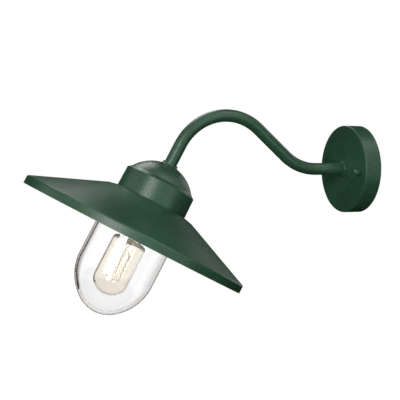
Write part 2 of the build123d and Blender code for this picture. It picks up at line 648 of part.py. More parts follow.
with BuildPart() as cap_hollow:
    pad_radius = NUT_PAD_DIAMETER / 2
    pad_foot = pad_radius + NUT_PAD_SLOPE
    inner_step = sqrt((DOME_RADIUS - CAP_WALL) ** 2
                      - (CAP_STEP_TOP - CAP_WALL / 2 - DOME_CENTRE_HEIGHT) ** 2)
    with BuildSketch(HEAD_SECTION):
        with BuildLine():
            Polyline((0, NUT_PAD_HEIGHT), (0, CAP_BASE_HEIGHT),
                     (CAP_RADIUS - CAP_WALL, CAP_BASE_HEIGHT),
                     (CAP_TOP_RADIUS - CAP_WALL, CAP_BODY_TOP - CAP_WALL / 2),
                     (inner_step, CAP_STEP_TOP - CAP_WALL / 2))
            dome_arc(inner_step, pad_foot, CAP_WALL)
            Polyline((pad_foot, dome_height(pad_foot, CAP_WALL)), (pad_radius, NUT_PAD_HEIGHT),
                     (0, NUT_PAD_HEIGHT))
        make_face()
    revolve(axis=HEAD_AXIS)
    drill(HEAD.offset(PLATE_TOP), post_places, CAP_POST_DIAMETER / 2, BOSS_TOP - PLATE_TOP)

with BuildPart() as lamp_cap:
    flare_foot = BOSS_RADIUS + BOSS_FLARE
    flare_height = dome_height(flare_foot, 0)
    with BuildSketch(HEAD_SECTION) as cap_section:
        with BuildLine():
            Polyline((0, BOSS_TOP), (0, CAP_BASE_HEIGHT), (CAP_RADIUS, CAP_BASE_HEIGHT))
            FilletPolyline((CAP_RADIUS, CAP_BASE_HEIGHT), (CAP_TOP_RADIUS, CAP_BODY_TOP),
                           (STEP_RADIUS, CAP_STEP_TOP), radius=CAP_BODY_ROUND)
            dome_arc(STEP_RADIUS, flare_foot, 0)
            ThreePointArc((flare_foot, flare_height),
                          (flare_foot - BOSS_FLARE * sin(pi / 4),
                           flare_height + BOSS_FLARE * (1 - cos(pi / 4))),
                          (BOSS_RADIUS, flare_height + BOSS_FLARE))
            Polyline((BOSS_RADIUS, flare_height + BOSS_FLARE), (BOSS_RADIUS, BOSS_TOP),
                     (0, BOSS_TOP))
        make_face()
    revolve(axis=HEAD_AXIS)
    add(cap_hollow.part, mode=Mode.SUBTRACT)
    drill(HEAD.offset(NUT_PAD_HEIGHT - CUT_THROUGH), [(0, 0)], TUBE_HOLE_RADIUS,
          BOSS_TOP - NUT_PAD_HEIGHT + 2 * CUT_THROUGH)
    drill(HEAD.offset(PLATE_TOP), post_places, SCREW_DIAMETER / 2, GALLERY_SCREW_LENGTH)
lamp_cap.part.label = "lamp_cap"
export_step(lamp_cap.part, "parts/lamp_cap.step")

# The spun shade is one sheet: a flat seat under the cap, two cones and a straight rim.
SHADE_RADIUS = SHADE_DIAMETER / 2
with BuildPart() as shade:
    with BuildSketch(HEAD_SECTION):
        with BuildLine():
            FilletPolyline((SEAT_HOLE_DIAMETER / 2, CAP_BASE_HEIGHT),
                           (CAP_RADIUS + SHADE_SEAT_MARGIN, CAP_BASE_HEIGHT),
                           (SHADE_SHOULDER_DIAMETER / 2, SHADE_SHOULDER_HEIGHT),
                           (SHADE_RADIUS, SHADE_RIM_HEIGHT),
                           (SHADE_RADIUS, 0),
                           radius=[SHADE_SEAT_ROUND, SHADE_SHOULDER_ROUND, SHADE_RIM_ROUND])
            offset(amount=SHADE_THICKNESS, side=Side.RIGHT)
        make_face()
    revolve(axis=HEAD_AXIS)
    drill(HEAD.offset(SHADE_UNDERSIDE - CUT_THROUGH), post_places, SCREW_HOLE_RADIUS,
          SHADE_THICKNESS + 2 * CUT_THROUGH)
shade.part.label = "shade"
export_step(shade.part, "parts/shade.step")

# ================================================================ gallery and jar
# A cast ring under the shade takes the jar's thread. Its screws clamp the shade to the cap.
SEAT_HOLE_RADIUS = SEAT_HOLE_DIAMETER / 2
with BuildPart() as gallery_gasket:
    washer(HEAD.offset(GALLERY_TOP), GALLERY_DIAMETER / 2, SEAT_HOLE_RADIUS,
           GALLERY_GASKET_THICKNESS)
    drill(HEAD.offset(GALLERY_TOP), post_places, SCREW_HOLE_RADIUS, GALLERY_GASKET_THICKNESS)
gallery_gasket.part.label = "gallery_gasket"
export_step(gallery_gasket.part, "parts/gallery_gasket.step")

GALLERY_BORE_RADIUS = GALLERY_BORE / 2
JAR_NECK_RADIUS = JAR_NECK_DIAMETER / 2
jar_thread_base = JAR_TOP - JAR_THREAD_DROP - JAR_THREAD_TURNS * JAR_THREAD_PITCH
flank_slope = (THREAD_ROOT_WIDTH - THREAD_CREST_WIDTH) / 2 / THREAD_RIDGE
flank_width = THREAD_ROOT_WIDTH - flank_slope * (GALLERY_BORE_RADIUS - JAR_NECK_RADIUS)
gallery_thread_base = jar_thread_base - flank_width - THREAD_FLANK_GAP
with BuildPart() as glass_gallery:
    skirt_bottom = GALLERY_TOP - GALLERY_SKIRT
    turned(HEAD_SECTION, HEAD_AXIS, [
        (SEAT_HOLE_RADIUS, GALLERY_TOP),
        (GALLERY_DIAMETER / 2, GALLERY_TOP),
        (GALLERY_DIAMETER / 2, skirt_bottom),
        (GALLERY_BORE_RADIUS, skirt_bottom),
        (GALLERY_BORE_RADIUS, GALLERY_FACE),
        (SEAT_HOLE_RADIUS, GALLERY_FACE),
    ])
    thread_ridge(gallery_thread_base, JAR_THREAD_TURNS, JAR_THREAD_PITCH, GALLERY_BORE_RADIUS,
                 -THREAD_RIDGE, THREAD_ROOT_WIDTH, THREAD_CREST_WIDTH)
    drill(HEAD.offset(GALLERY_FACE), post_places, SCREW_HOLE_RADIUS, GALLERY_FLANGE)
glass_gallery.part.label = "glass_gallery"
export_step(glass_gallery.part, "parts/glass_gallery.step")

with BuildPart() as gallery_screws:
    screw_reach = PLATE_TOP - GALLERY_FACE + GALLERY_SCREW_LENGTH - SCREW_END_GAP
    pillar(HEAD.offset(GALLERY_FACE), post_places, SCREW_DIAMETER / 2, screw_reach)
    pillar(HEAD.offset(GALLERY_FACE - SCREW_HEAD_HEIGHT), post_places, SCREW_HEAD_DIAMETER / 2,
           SCREW_HEAD_HEIGHT)
    screw_face = HEAD.offset(GALLERY_FACE - SCREW_HEAD_HEIGHT)
    cut_slots(screw_face, post_places, CROSS_SLOT_LENGTH, SCREW_SLOT_WIDTH, CROSS_SLOT_DEPTH)
    cut_slots(screw_face, post_places, SCREW_SLOT_WIDTH, CROSS_SLOT_LENGTH, CROSS_SLOT_DEPTH)
gallery_screws.part.label = "gallery_screws"
export_step(gallery_screws.part, "parts/gallery_screws.step")

# The seal lies on the rim of the jar's neck, a little narrower than the glass on both sides.
with BuildPart() as jar_seal:
    washer(HEAD.offset(JAR_TOP + JAR_SEAL_GAP), JAR_NECK_RADIUS - JAR_SEAL_MARGIN,
           JAR_NECK_RADIUS - JAR_WALL + JAR_SEAL_MARGIN, JAR_SEAL_THICKNESS)
jar_seal.part.label = "jar_seal"
export_step(jar_seal.part, "parts/jar_seal.step")

# The jar is blown glass: a threaded neck, a round shoulder, a cylinder and an egg-shaped end.
# The end is two arcs that meet smoothly, a long one for the side and a short one for the tip.
JAR_RADIUS = JAR_DIAMETER / 2
spring_line = JAR_END_HEIGHT - JAR_DEPTH
tip_centre_drop = JAR_END_HEIGHT - JAR_TIP_RADIUS
side_arc_radius = ((JAR_RADIUS**2 + tip_centre_drop**2 - JAR_TIP_RADIUS**2)
                   / (2 * (JAR_RADIUS - JAR_TIP_RADIUS)))
side_arc_angle = degrees(atan2(tip_centre_drop, side_arc_radius - JAR_RADIUS))


def jar_end_arcs(inset):
    """The two arcs of the jar's end, or of its inside."""
    CenterArc((JAR_RADIUS - side_arc_radius, spring_line), side_arc_radius - inset,
              -side_arc_angle, side_arc_angle)
    CenterArc((0, spring_line - tip_centre_drop), JAR_TIP_RADIUS - inset,
              -90, 90 - side_arc_angle)


with BuildPart() as glass_jar:
    shoulder_turn = atan2(JAR_RADIUS - JAR_NECK_RADIUS, JAR_SHOULDER_HEIGHT)
    inner_drop = JAR_WALL * tan(shoulder_turn / 2)
    shoulder_bottom = JAR_SHOULDER_TOP - JAR_SHOULDER_HEIGHT
    with BuildSketch(HEAD_SECTION):
        with BuildLine():
            FilletPolyline((JAR_NECK_RADIUS, JAR_TOP), (JAR_NECK_RADIUS, JAR_SHOULDER_TOP),
                           (JAR_RADIUS, shoulder_bottom), (JAR_RADIUS, spring_line),
                           radius=[JAR_SHOULDER_ROUND, JAR_SHOULDER_ROUND + JAR_WALL])
            jar_end_arcs(0)
            Line((0, -JAR_DEPTH), (0, JAR_WALL - JAR_DEPTH))
            jar_end_arcs(JAR_WALL)
            FilletPolyline((JAR_RADIUS - JAR_WALL, spring_line),
                           (JAR_RADIUS - JAR_WALL, shoulder_bottom - inner_drop),
                           (JAR_NECK_RADIUS - JAR_WALL, JAR_SHOULDER_TOP - inner_drop),
                           (JAR_NECK_RADIUS - JAR_WALL, JAR_TOP),
                           radius=[JAR_SHOULDER_ROUND, JAR_SHOULDER_ROUND + JAR_WALL])
            Line((JAR_NECK_RADIUS - JAR_WALL, JAR_TOP), (JAR_NECK_RADIUS, JAR_TOP))
        make_face()
    revolve(axis=HEAD_AXIS)
    thread_ridge(jar_thread_base, JAR_THREAD_TURNS, JAR_THREAD_PITCH, JAR_NECK_RADIUS,
                 THREAD_RIDGE, THREAD_ROOT_WIDTH, THREAD_CREST_WIDTH)
glass_jar.part.label = "glass_jar"
export_step(glass_jar.part, "parts/glass_jar.step")

# ================================================================ lampholder
# A steel plate lies on the shade inside the cap, held by the gallery's screws.
TERMINAL_CENTRE = TERMINAL_SPACING / 2
holder_screw_places = [(-HOLDER_SCREW_SPACING / 2, 0), (HOLDER_SCREW_SPACING / 2, 0)]
terminal_places = [(0, TERMINAL_CENTRE), (0, -TERMINAL_CENTRE)]
with BuildPart() as lampholder_plate:
    with BuildSketch(HEAD.offset(CAP_BASE_HEIGHT)):
        Circle(HOLDER_PLATE_DIAMETER / 2)
        with Locations(*post_places):
            Circle(SCREW_HOLE_RADIUS, mode=Mode.SUBTRACT)
        with Locations(*holder_screw_places):
            Circle(SCREW_HOLE_RADIUS, mode=Mode.SUBTRACT)
        with Locations(*terminal_places):
            Rectangle(TERMINAL_WIDTH + 2 * TERMINAL_WINDOW_GAP,
                      TERMINAL_DEPTH + 2 * TERMINAL_WINDOW_GAP, mode=Mode.SUBTRACT)
        with Locations((-HEAD_EARTH_PLACE, 0)):
            Circle(SCREW_DIAMETER / 2, mode=Mode.SUBTRACT)
    extrude(amount=HOLDER_PLATE_THICKNESS)
lampholder_plate.part.label = "lampholder_plate"
export_step(lampholder_plate.part, "parts/lampholder_plate.step")

# The porcelain body hangs under the plate, with the screw shell in its mouth.
HOLDER_RADIUS = HOLDER_DIAMETER / 2
SHELL_RADIUS = SHELL_DIAMETER / 2
shell_mouth = HOLDER_MOUTH_HEIGHT + HOLDER_MOUTH_DEPTH
contact_top = BULB_TIP_HEIGHT + CONTACT_THICKNESS
stem_top = contact_top + CONTACT_STEM_LENGTH
strap_under = stem_top + SPRING_END_GAP + SPRING_LENGTH + STRAP_GAP
terminal_bottom = CAP_BASE_HEIGHT - TERMINAL_FOOT
leg_radius = TERMINAL_LEG_DIAMETER / 2
with BuildPart() as lampholder_body:
    turned(HEAD_SECTION, HEAD_AXIS, [
        (HOLDER_MOUTH_BORE / 2, HOLDER_MOUTH_HEIGHT),
        (HOLDER_RADIUS, HOLDER_MOUTH_HEIGHT),
        (HOLDER_RADIUS, CAP_BASE_HEIGHT),
        (0, CAP_BASE_HEIGHT),
        (0, contact_top + CONTACT_GAP),
        (CONTACT_POCKET_DIAMETER / 2, contact_top + CONTACT_GAP),
        (CONTACT_POCKET_DIAMETER / 2, HOLDER_FLOOR_HEIGHT),
        (SHELL_RADIUS, HOLDER_FLOOR_HEIGHT),
        (SHELL_RADIUS, shell_mouth),
        (HOLDER_MOUTH_BORE / 2, shell_mouth),
    ])
    holder_rims = lampholder_body.edges().filter_by(GeomType.CIRCLE).group_by(SortBy.RADIUS)[-1]
    fillet(holder_rims, HOLDER_EDGE_ROUND)
    drill(HEAD.offset(contact_top), [(0, 0)], CONTACT_STEM_DIAMETER / 2 + CONTACT_GAP,
          strap_under - contact_top)
    with BuildSketch(HEAD.offset(terminal_bottom)):
        with Locations(*terminal_places):
            Rectangle(TERMINAL_WIDTH + 2 * CONTACT_GAP, TERMINAL_DEPTH + 2 * CONTACT_GAP)
    extrude(amount=TERMINAL_FOOT, mode=Mode.SUBTRACT)
    with BuildSketch(HEAD.offset(strap_under)):
        with Locations((0, TERMINAL_CENTRE / 2)):
            Rectangle(STRAP_WIDTH + 2 * CONTACT_GAP, TERMINAL_CENTRE + STRAP_WIDTH + 2 * CONTACT_GAP)
    extrude(amount=CAP_BASE_HEIGHT - strap_under, mode=Mode.SUBTRACT)
    drill(HEAD.offset(HOLDER_FLOOR_HEIGHT), [(0, -TERMINAL_CENTRE)], leg_radius + CONTACT_GAP,
          terminal_bottom - HOLDER_FLOOR_HEIGHT)
    drill(HEAD.offset(PLATE_TOP - HOLDER_SCREW_LENGTH), holder_screw_places, SCREW_DIAMETER / 2,
          HOLDER_SCREW_LENGTH)
lampholder_body.part.label = "lampholder_body"
export_step(lampholder_body.part, "parts/lampholder_body.step")

with BuildPart() as lampholder_screws:
    pillar(HEAD.offset(PLATE_TOP - HOLDER_SCREW_LENGTH), holder_screw_places, SCREW_DIAMETER / 2,
           HOLDER_SCREW_LENGTH)
    pillar(HEAD.offset(PLATE_TOP), holder_screw_places, SCREW_HEAD_DIAMETER / 2, SCREW_HEAD_HEIGHT)
    cut_slots(HEAD.offset(PLATE_TOP + SCREW_HEAD_HEIGHT - SCREW_SLOT_DEPTH), holder_screw_places,
              SCREW_HEAD_DIAMETER, SCREW_SLOT_WIDTH, SCREW_SLOT_DEPTH)
lampholder_screws.part.label = "lampholder_screws"
export_step(lampholder_screws.part, "parts/lampholder_screws.step")

# Edison threads: the shell's ridge runs half a pitch away from the bulb cap's ridge.
EDISON_CORE_RADIUS = EDISON_CORE / 2
cap_thread_base = BULB_CAP_BOTTOM + CAP_SKIRT_HEIGHT + EDISON_ROOT_WIDTH
with BuildPart() as thread_shell:
    turned(HEAD_SECTION, HEAD_AXIS, [
        (SHELL_RADIUS, shell_mouth),
        (SHELL_RADIUS, HOLDER_FLOOR_HEIGHT),
        (SHELL_BASE_HOLE / 2, HOLDER_FLOOR_HEIGHT),
        (SHELL_BASE_HOLE / 2, HOLDER_FLOOR_HEIGHT - SHELL_BASE),
        (SHELL_BORE / 2, HOLDER_FLOOR_HEIGHT - SHELL_BASE),
        (SHELL_BORE / 2, shell_mouth),
    ])
    thread_ridge(cap_thread_base + EDISON_PITCH / 2, SHELL_TURNS, EDISON_PITCH, SHELL_BORE / 2,
                 -EDISON_RIDGE, EDISON_ROOT_WIDTH, EDISON_CREST_WIDTH)
thread_shell.part.label = "thread_shell"
export_step(thread_shell.part, "parts/thread_shell.step")

# The live contact is a plunger under a small spring: it follows the bulb as that turns out.
with BuildPart() as centre_contact:
    pillar(HEAD.offset(BULB_TIP_HEIGHT), [(0, 0)], CONTACT_DIAMETER / 2, CONTACT_THICKNESS)
    pillar(HEAD.offset(contact_top), [(0, 0)], CONTACT_STEM_DIAMETER / 2, CONTACT_STEM_LENGTH)
centre_contact.part.label = "centre_contact"
export_step(centre_contact.part, "parts/centre_contact.step")

with BuildPart() as contact_spring:
    coil_radius = (SPRING_DIAMETER - SPRING_WIRE) / 2
    coil_height = SPRING_LENGTH - SPRING_WIRE
    coil = Helix(coil_height / SPRING_TURNS, coil_height, coil_radius,
                 center=head_point(0, 0, stem_top + SPRING_END_GAP + SPRING_WIRE / 2),
                 direction=HEAD_UP_AXIS, mode=Mode.PRIVATE)
    with BuildSketch(Plane(origin=coil @ 0, z_dir=coil % 0)) as coil_wire:
        Circle(SPRING_WIRE / 2)
    sweep(coil_wire.sketch, path=coil, is_frenet=True)
contact_spring.part.label = "contact_spring"
export_step(contact_spring.part, "parts/contact_spring.step")

# Brass terminals: the live one has a strap to the spring, the neutral one a leg to the shell.
terminal_top = PLATE_TOP + TERMINAL_STAND
terminal_height = terminal_top - terminal_bottom
clamp_height = terminal_top - TERMINAL_STAND / 2
conductor_radius = CONDUCTOR_DIAMETER / 2
with BuildPart() as lampholder_terminals:
    with BuildSketch(HEAD.offset(terminal_bottom)):
        with Locations(*terminal_places):
            Rectangle(TERMINAL_WIDTH, TERMINAL_DEPTH)
    extrude(amount=terminal_height)
    with BuildSketch(HEAD.offset(strap_under)):
        with Locations((0, TERMINAL_CENTRE / 2)):
            Rectangle(STRAP_WIDTH, TERMINAL_CENTRE + STRAP_WIDTH)
    extrude(amount=STRAP_THICKNESS)
    pillar(HEAD.offset(HOLDER_FLOOR_HEIGHT), [(0, -TERMINAL_CENTRE)], leg_radius,
           terminal_bottom - HOLDER_FLOOR_HEIGHT)
    drill(HEAD.offset(terminal_top - CONDUCTOR_LENGTH - CUT_THROUGH), terminal_places,
          conductor_radius + CONDUCTOR_FIT, CONDUCTOR_LENGTH + CUT_THROUGH)
    clamp_plane = Plane(origin=head_point(0, 0, clamp_height), x_dir=HEAD.y_dir, z_dir=(1, 0, 0))
    clamp_places = [(TERMINAL_CENTRE, 0), (-TERMINAL_CENTRE, 0)]
    drill(clamp_plane, clamp_places, TERMINAL_SCREW_DIAMETER / 2, TERMINAL_WIDTH)
lampholder_terminals.part.label = "lampholder_terminals"
export_step(lampholder_terminals.part, "parts/lampholder_terminals.step")

with BuildPart() as lampholder_terminal_screws:
    screw_start = conductor_radius + CONDUCTOR_FIT
    pillar(clamp_plane.offset(screw_start), clamp_places, TERMINAL_SCREW_DIAMETER / 2,
           TERMINAL_WIDTH / 2 - screw_start)
    clamp_head_plane = clamp_plane.offset(TERMINAL_WIDTH / 2)
    pillar(clamp_head_plane, clamp_places, TERMINAL_SCREW_HEAD / 2, SMALL_HEAD_HEIGHT)
    cut_slots(clamp_head_plane.offset(SMALL_HEAD_HEIGHT - SMALL_SLOT_DEPTH), clamp_places,
              TERMINAL_SCREW_HEAD, SMALL_SLOT_WIDTH, SMALL_SLOT_DEPTH)
lampholder_terminal_screws.part.label = "lampholder_terminal_screws"
export_step(lampholder_terminal_screws.part, "parts/lampholder_terminal_screws.step")

# ================================================================ bulb
# A tubular clear bulb: flat round shoulder, straight sides and a domed end.
BULB_RADIUS = BULB_DIAMETER / 2
BULB_NECK_RADIUS = BULB_NECK_DIAMETER / 2
bulb_spring_line = BULB_END_HEIGHT + BULB_DOME_HEIGHT
with BuildPart() as bulb_envelope:
    inner_radius = BULB_RADIUS - BULB_WALL
    inner_neck = BULB_NECK_RADIUS - BULB_WALL
    with BuildSketch(HEAD_SECTION):
        with BuildLine():
            FilletPolyline((BULB_NECK_RADIUS, BULB_NECK_TOP),
                           (BULB_NECK_RADIUS, BULB_SHOULDER_HEIGHT),
                           (BULB_RADIUS, BULB_SHOULDER_HEIGHT),
                           (BULB_RADIUS, bulb_spring_line),
                           radius=[BULB_NECK_FILLET, BULB_SHOULDER_ROUND])
            EllipticalCenterArc((0, bulb_spring_line), BULB_RADIUS, BULB_DOME_HEIGHT,
                                start_angle=-90, arc_size=90)
            Line((0, BULB_END_HEIGHT), (0, BULB_END_HEIGHT + BULB_WALL))
            EllipticalCenterArc((0, bulb_spring_line), inner_radius,
                                BULB_DOME_HEIGHT - BULB_WALL, start_angle=-90, arc_size=90)
            FilletPolyline((inner_radius, bulb_spring_line),
                           (inner_radius, BULB_SHOULDER_HEIGHT - BULB_WALL),
                           (inner_neck, BULB_SHOULDER_HEIGHT - BULB_WALL),
                           (inner_neck, BULB_NECK_TOP),
                           radius=[BULB_SHOULDER_ROUND - BULB_WALL, BULB_NECK_FILLET + BULB_WALL])
            Line((inner_neck, BULB_NECK_TOP), (BULB_NECK_RADIUS, BULB_NECK_TOP))
        make_face()
    revolve(axis=HEAD_AXIS)
bulb_envelope.part.label = "bulb_envelope"
export_step(bulb_envelope.part, "parts/bulb_envelope.step")

with BuildPart() as bulb_screw_cap:
    cap_inside = EDISON_CORE_RADIUS - CAP_SHEET
    skirt_top = BULB_CAP_BOTTOM + CAP_SKIRT_HEIGHT
    turned(HEAD_SECTION, HEAD_AXIS, [
        (CAP_SKIRT_DIAMETER / 2, BULB_CAP_BOTTOM),
        (EDISON_CORE_RADIUS, skirt_top),
        (EDISON_CORE_RADIUS, BULB_CAP_TOP),
        (cap_inside, BULB_CAP_TOP),
        (cap_inside, skirt_top),
        (CAP_SKIRT_DIAMETER / 2 - CAP_SHEET, BULB_CAP_BOTTOM),
    ])
    thread_ridge(cap_thread_base, EDISON_TURNS, EDISON_PITCH, EDISON_CORE_RADIUS,
                 EDISON_RIDGE, EDISON_ROOT_WIDTH, EDISON_CREST_WIDTH)
bulb_screw_cap.part.label = "bulb_screw_cap"
export_step(bulb_screw_cap.part, "parts/bulb_screw_cap.step")

with BuildPart() as bulb_insulator:
    insulator_top = BULB_TIP_HEIGHT - BULB_TIP_THICKNESS
    insulator_radius = cap_inside - WIRE_GAP
    turned(HEAD_SECTION, HEAD_AXIS, [
        (0, BULB_CAP_TOP - INSULATOR_SINK),
        (insulator_radius, BULB_CAP_TOP - INSULATOR_SINK),
        (insulator_radius, BULB_CAP_TOP),
        (BULB_TIP_DIAMETER / 2 + INSULATOR_LIP, insulator_top),
        (0, insulator_top),
    ])
bulb_insulator.part.label = "bulb_insulator"
export_step(bulb_insulator.part, "parts/bulb_insulator.step")

with BuildPart() as bulb_contact_tip:
    pillar(HEAD.offset(insulator_top), [(0, 0)], BULB_TIP_DIAMETER / 2, BULB_TIP_THICKNESS)
    tip_edges = bulb_contact_tip.edges().filter_by(GeomType.CIRCLE).sort_by(HEAD_AXIS)
    fillet(tip_edges[-1], BULB_TIP_THICKNESS / 2)
bulb_contact_tip.part.label = "bulb_contact_tip"
export_step(bulb_contact_tip.part, "parts/bulb_contact_tip.step")

# The glass stem stands on a flared foot in the neck and carries a rod with two beads.
with BuildPart() as bulb_stem:
    foot_radius = inner_neck - STEM_FOOT_GAP
    rod_radius = STEM_ROD_DIAMETER / 2
    bead_radius = STEM_BEAD_DIAMETER / 2
    tube_radius = STEM_TUBE_DIAMETER / 2
    pinch_radius = STEM_PINCH_DIAMETER / 2
    upper_bead_height = STEM_HEIGHT - UPPER_BEAD_DEPTH
    lower_bead_height = STEM_HEIGHT - LOWER_BEAD_DEPTH
    turned(HEAD_SECTION, HEAD_AXIS, [
        (foot_radius, STEM_FOOT_HEIGHT),
        (foot_radius, STEM_FOOT_HEIGHT - BULB_WALL),
        (tube_radius, STEM_HEIGHT),
        (tube_radius, STEM_HEIGHT - STEM_TUBE_END),
        (pinch_radius, STEM_HEIGHT - STEM_PINCH_START),
        (pinch_radius, STEM_HEIGHT - STEM_PINCH_END),
        (rod_radius, STEM_HEIGHT - STEM_PINCH_END),
        (rod_radius, upper_bead_height),
        (bead_radius, upper_bead_height),
        (bead_radius, upper_bead_height - STEM_BEAD_LENGTH),
        (rod_radius, upper_bead_height - STEM_BEAD_LENGTH),
        (rod_radius, lower_bead_height),
        (bead_radius, lower_bead_height),
        (bead_radius, lower_bead_height - STEM_BEAD_LENGTH),
        (0, lower_bead_height - STEM_BEAD_LENGTH),
        (0, STEM_HEIGHT + BULB_WALL),
        (tube_radius - BULB_WALL, STEM_HEIGHT + BULB_WALL),
        (foot_radius - BULB_WALL, STEM_FOOT_HEIGHT),
    ])
bulb_stem.part.label = "bulb_stem"
export_step(bulb_stem.part, "parts/bulb_stem.step")

# The filament is one wire that zigzags round a cage between upper and lower supports.
FILAMENT_RADIUS = FILAMENT_CIRCLE / 2
strand_step = FILAMENT_SWEEP / FILAMENT_STRANDS
strand_angles = [strand_step * i - FILAMENT_SWEEP / 2 for i in range(FILAMENT_STRANDS + 1)]
filament_top = STEM_HEIGHT - FILAMENT_TOP_DEPTH
filament_bottom = STEM_HEIGHT - FILAMENT_BOTTOM_DEPTH
strand_heights = [filament_bottom if i % 2 else filament_top for i in range(FILAMENT_STRANDS + 1)]
cage_points = [head_point(*on_circle(FILAMENT_RADIUS, a), h)
               for a, h in zip(strand_angles, strand_heights)]
strand_chord = 2 * FILAMENT_RADIUS * sin(radians(strand_step / 2))
strand_lean = atan2(strand_chord, filament_top - filament_bottom)
loop_inset = FILAMENT_BEND * (1 / sin(strand_lean) - 1)
with BuildPart() as filament:
    wire(cage_points, FILAMENT_WIRE / 2, FILAMENT_BEND)
filament.part.label = "filament"
export_step(filament.part, "parts/filament.step")

support_tip = FILAMENT_RADIUS - FILAMENT_WIRE / 2 - WIRE_GAP
with BuildPart() as filament_supports:
    for i in range(1, FILAMENT_STRANDS):
        angle = strand_angles[i]
        upper = i % 2 == 0
        bead_height = upper_bead_height if upper else lower_bead_height
        loop_height = filament_top - loop_inset if upper else filament_bottom + loop_inset
        straight_wire(
            head_point(*on_circle(bead_radius + WIRE_GAP, angle), bead_height - STEM_BEAD_LENGTH / 2),
            head_point(*on_circle(support_tip, angle), loop_height), SUPPORT_WIRE / 2)
filament_supports.part.label = "filament_supports"
export_step(filament_supports.part, "parts/filament_supports.step")

with BuildPart() as lead_wires:
    for angle in (strand_angles[0], strand_angles[-1]):
        lead_start = on_circle(pinch_radius + LEAD_WIRE / 2, angle)
        lead_end = on_circle(FILAMENT_RADIUS, angle)
        straight_wire(head_point(*lead_start, STEM_HEIGHT - STEM_PINCH_START),
                      head_point(*lead_end, filament_top + LEAD_WIRE), LEAD_WIRE / 2)
lead_wires.part.label = "lead_wires"
export_step(lead_wires.part, "parts/lead_wires.step")

# ================================================================ wiring
# A sheathed cable fills the arm from bush to bush; its three cores fan out at each end.
with BuildPart() as arm_cable:
    wire([wall_point(0, 0, ROSE_CABLE_END), *arm_corners, head_point(0, 0, HEAD_CABLE_END)],
         CABLE_DIAMETER / 2, ARM_BEND_RADIUS)
arm_cable.part.label = "arm_cable"
export_step(arm_cable.part, "parts/arm_cable.step")

core_radius = CORE_DIAMETER / 2


def block_core(x, start_x):
    """A core from the cable's end to a way of the terminal block, with its bared tip."""
    end = wall_point(x, insert_top, way_out)
    wire([wall_point(start_x, 0, ROSE_CABLE_END), wall_point(start_x, 0, way_out),
          wall_point(x, insert_top + BLOCK_CORE_KNEE, way_out), end], core_radius, ROSE_CORE_BEND)
    straight_wire(end, wall_point(x, insert_top - CONDUCTOR_LENGTH, way_out), conductor_radius)


def holder_core(y, start_y):
    """A core from the cable's end to a lampholder terminal, with its bared tip."""
    end = head_point(0, y, terminal_top)
    fan_top = HEAD_CABLE_END - FAN_START
    fan_foot = terminal_top + HEAD_CORE_BEND
    wire([head_point(0, start_y, HEAD_CABLE_END), head_point(0, start_y, fan_top),
          head_point(0, y, fan_foot), end], core_radius, HEAD_CORE_BEND)
    straight_wire(end, head_point(0, y, terminal_top - CONDUCTOR_LENGTH), conductor_radius)


with BuildPart() as live_cores:
    block_core(way_places[0], -CORE_OFFSET)
    holder_core(TERMINAL_CENTRE, CORE_OFFSET)
live_cores.part.label = "live_cores"
export_step(live_cores.part, "parts/live_cores.step")

with BuildPart() as neutral_cores:
    block_core(way_places[1], CORE_OFFSET)
    holder_core(-TERMINAL_CENTRE, -CORE_OFFSET)
neutral_cores.part.label = "neutral_cores"
export_step(neutral_cores.part, "parts/neutral_cores.step")

# Ring terminals lie under the two earth screws, one on the bracket and one on the plate.
ring_radius = EARTH_RING_DIAMETER / 2
ring_hole = SCREW_DIAMETER / 2 + RING_HOLE_GAP
barrel_radius = EARTH_BARREL_DIAMETER / 2
barrel_offset = SCREW_HEAD_DIAMETER / 2 + EARTH_BARREL_GAP + barrel_radius
rose_barrel_top = ROSE_EARTH_HEIGHT - barrel_offset + barrel_radius
rose_barrel_out = BRACKET_THICKNESS + EARTH_BARREL_GAP + barrel_radius
head_barrel_x = barrel_offset - HEAD_EARTH_PLACE
head_barrel_top = PLATE_TOP + EARTH_BARREL_LENGTH
with BuildPart() as earth_ring_terminals:
    with BuildSketch(WALL.offset(BRACKET_THICKNESS)):
        with Locations((0, ROSE_EARTH_HEIGHT)):
            Circle(ring_radius)
        with Locations((0, ROSE_EARTH_HEIGHT - barrel_offset / 2)):
            Rectangle(EARTH_BARREL_DIAMETER, barrel_offset)
        with Locations((0, ROSE_EARTH_HEIGHT)):
            Circle(ring_hole, mode=Mode.SUBTRACT)
    extrude(amount=EARTH_RING_THICKNESS)
    pillar(Plane.XY.offset(rose_barrel_top - EARTH_BARREL_LENGTH), [(0, -rose_barrel_out)],
           barrel_radius, EARTH_BARREL_LENGTH)
    with BuildSketch(HEAD.offset(PLATE_TOP)):
        with Locations((-HEAD_EARTH_PLACE, 0)):
            Circle(ring_radius)
        with Locations((barrel_offset / 2 - HEAD_EARTH_PLACE, 0)):
            Rectangle(barrel_offset, EARTH_BARREL_DIAMETER)
        with Locations((-HEAD_EARTH_PLACE, 0)):
            Circle(ring_hole, mode=Mode.SUBTRACT)
    extrude(amount=EARTH_RING_THICKNESS)
    pillar(HEAD.offset(PLATE_TOP), [(head_barrel_x, 0)], barrel_radius, EARTH_BARREL_LENGTH)
earth_ring_terminals.part.label = "earth_ring_terminals"
export_step(earth_ring_terminals.part, "parts/earth_ring_terminals.step")

